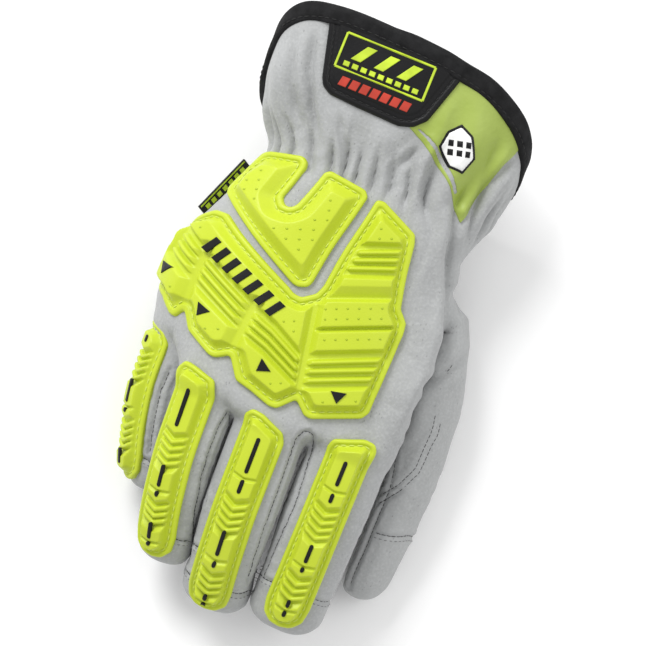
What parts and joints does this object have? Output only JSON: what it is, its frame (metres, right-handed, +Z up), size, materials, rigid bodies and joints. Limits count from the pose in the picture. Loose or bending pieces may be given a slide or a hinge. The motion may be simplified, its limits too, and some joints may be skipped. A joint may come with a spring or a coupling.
{
  "type": "impact work glove",
  "caption": "right-hand cut resistant work glove in split suede with moulded impact guards on the hand and fingers and a flared, bound cuff",
  "frame": {"origin": "centre of the glove's footprint, at the height of the surface it lies on", "axes": "+X across the hand towards the little finger, +Y from the cuff to the fingertips, +Z up out of the back of the hand"},
  "size_m": [0.1374, 0.2448, 0.0627],
  "materials": {
    "suede": "matte split suede with a short nap",
    "guard_rubber": "soft satin thermoplastic rubber, high visibility lime",
    "inlay_black": "satin black",
    "liner_knit": "fine knit, matte",
    "elastic_black": "woven, matte",
    "label_woven": "woven, matte",
    "binding_tape": "woven tape, matte",
    "patch_rubber": "satin",
    "emblem_lime": "satin",
    "tab_print": "smooth printed film, satin",
    "badge_white": "printed, satin"
  },
  "bodies": {
    "hand": {"back_panel": "suede", "palm_panel": "suede", "thumb_crotch_patch": "suede", "liner_hand": "liner_knit", "wrist_elastic": "elastic_black", "side_label": "label_woven", "metacarpal_guard": "guard_rubber", "knuckle_guard": "guard_rubber", "knuckle_inlays": "inlay_black", "knuckle_bars": "inlay_black"},
    "cuff": {"cuff_back": "suede", "cuff_palm": "suede", "cuff_binding": "binding_tape", "liner_cuff": "liner_knit", "logo_patch": "patch_rubber", "patch_emblem": "emblem_lime", "cuff_tab": "tab_print", "tab_badge": "badge_white"},
    "index_proximal": {"index_proximal_back": "suede", "index_proximal_palm": "suede", "index_proximal_guard": "guard_rubber"},
    "index_middle": {"index_middle_back": "suede", "index_middle_palm": "suede", "index_middle_guard": "guard_rubber"},
    "index_distal": {"index_distal_back": "suede", "index_distal_palm": "suede", "index_distal_guard": "guard_rubber"},
    "middle_proximal": {"middle_proximal_back": "suede", "middle_proximal_palm": "suede", "middle_proximal_guard": "guard_rubber"},
    "middle_middle": {"middle_middle_back": "suede", "middle_middle_palm": "suede", "middle_middle_guard": "guard_rubber"},
    "middle_distal": {"middle_distal_back": "suede", "middle_distal_palm": "suede", "middle_distal_guard": "guard_rubber"},
    "ring_proximal": {"ring_proximal_back": "suede", "ring_proximal_palm": "suede", "ring_proximal_guard": "guard_rubber"},
    "ring_middle": {"ring_middle_back": "suede", "ring_middle_palm": "suede", "ring_middle_guard": "guard_rubber"},
    "ring_distal": {"ring_distal_back": "suede", "ring_distal_palm": "suede", "ring_distal_guard": "guard_rubber"},
    "little_proximal": {"little_proximal_back": "suede", "little_proximal_palm": "suede", "little_proximal_guard": "guard_rubber"},
    "little_middle": {"little_middle_back": "suede", "little_middle_palm": "suede", "little_middle_guard": "guard_rubber"},
    "little_distal": {"little_distal_back": "suede", "little_distal_palm": "suede", "little_distal_guard": "guard_rubber"},
    "thumb_base": {"thumb_base_back": "suede", "thumb_base_palm": "suede"},
    "thumb_tip": {"thumb_tip_back": "suede", "thumb_tip_palm": "suede"}
  },
  "joints": [
    {"name": "index_root_flex", "type": "hinge", "parent": "hand", "child": "index_proximal", "pos_m": [-0.0282, 0.0439, 0.03725], "axis": [-0.9998, 0.0175, 0], "range_deg": [-8, 45], "stiffness_Nm_per_rad": 0.5},
    {"name": "index_mid_flex", "type": "hinge", "parent": "index_proximal", "child": "index_middle", "pos_m": [-0.02774, 0.07029, 0.03494], "axis": [-0.9998, 0.0175, 0], "range_deg": [-6, 50], "stiffness_Nm_per_rad": 0.4},
    {"name": "index_tip_flex", "type": "hinge", "parent": "index_middle", "child": "index_distal", "pos_m": [-0.02729, 0.09572, 0.02953], "axis": [-0.9998, 0.0175, 0], "range_deg": [-3, 25], "stiffness_Nm_per_rad": 0.25},
    {"name": "middle_root_flex", "type": "hinge", "parent": "hand", "child": "middle_proximal", "pos_m": [0.0042, 0.0449, 0.04025], "axis": [-0.9993, -0.014, 0.0349], "range_deg": [-8, 45], "stiffness_Nm_per_rad": 0.5},
    {"name": "middle_mid_flex", "type": "hinge", "parent": "middle_proximal", "child": "middle_middle", "pos_m": [0.00317, 0.07691, 0.03694], "axis": [-0.9993, -0.014, 0.0349], "range_deg": [-6, 50], "stiffness_Nm_per_rad": 0.4},
    {"name": "middle_tip_flex", "type": "hinge", "parent": "middle_middle", "child": "middle_distal", "pos_m": [0.00132, 0.10085, 0.02835], "axis": [-0.9993, -0.014, 0.0349], "range_deg": [-3, 25], "stiffness_Nm_per_rad": 0.25},
    {"name": "ring_root_flex", "type": "hinge", "parent": "hand", "child": "ring_proximal", "pos_m": [0.0325, 0.0409, 0.03725], "axis": [-0.9966, 0.0435, 0.0698], "range_deg": [-2, 45], "stiffness_Nm_per_rad": 0.5},
    {"name": "ring_mid_flex", "type": "hinge", "parent": "ring_proximal", "child": "ring_middle", "pos_m": [0.03244, 0.06499, 0.03498], "axis": [-0.9966, 0.0435, 0.0698], "range_deg": [0, 50], "stiffness_Nm_per_rad": 0.4},
    {"name": "ring_tip_flex", "type": "hinge", "parent": "ring_middle", "child": "ring_distal", "pos_m": [0.03068, 0.08662, 0.02943], "axis": [-0.9966, 0.0435, 0.0698], "range_deg": [0, 25], "stiffness_Nm_per_rad": 0.25},
    {"name": "little_root_flex", "type": "hinge", "parent": "hand", "child": "little_proximal", "pos_m": [0.0505, 0.0269, 0.02025], "axis": [-0.9962, 0.0697, -0.0523], "range_deg": [-2, 45], "stiffness_Nm_per_rad": 0.5},
    {"name": "little_mid_flex", "type": "hinge", "parent": "little_proximal", "child": "little_middle", "pos_m": [0.05071, 0.04489, 0.01955], "axis": [-0.9962, 0.0697, -0.0523], "range_deg": [0, 50], "stiffness_Nm_per_rad": 0.4},
    {"name": "little_tip_flex", "type": "hinge", "parent": "little_middle", "child": "little_distal", "pos_m": [0.04793, 0.0655, 0.01671], "axis": [-0.9962, 0.0697, -0.0523], "range_deg": [0, 25], "stiffness_Nm_per_rad": 0.25},
    {"name": "thumb_spread", "type": "hinge", "parent": "hand", "child": "thumb_base", "pos_m": [-0.0405, -0.0221, 0.01725], "axis": [0.4064, 0.1158, 0.9063], "range_deg": [-3, 25], "stiffness_Nm_per_rad": 0.5},
    {"name": "thumb_tip_flex", "type": "hinge", "parent": "thumb_base", "child": "thumb_tip", "pos_m": [-0.05623, 0.04507, 0.01572], "axis": [-0.4064, -0.1158, -0.9063], "range_deg": [-8, 35], "stiffness_Nm_per_rad": 0.4},
    {"name": "wrist_bend", "type": "hinge", "parent": "hand", "child": "cuff", "pos_m": [-0.00275, -0.0586, 0.02975], "axis": [1, 0, 0], "range_deg": [-12, 12], "stiffness_Nm_per_rad": 0.8}
  ],
  "couplings": [
    {"joint": "index_tip_flex", "follows": "index_mid_flex", "ratio": 0.5},
    {"joint": "middle_tip_flex", "follows": "middle_mid_flex", "ratio": 0.5},
    {"joint": "ring_tip_flex", "follows": "ring_mid_flex", "ratio": 0.5},
    {"joint": "little_root_flex", "follows": "ring_root_flex", "ratio": 1},
    {"joint": "little_mid_flex", "follows": "ring_mid_flex", "ratio": 1},
    {"joint": "little_tip_flex", "follows": "ring_mid_flex", "ratio": 0.5}
  ]
}
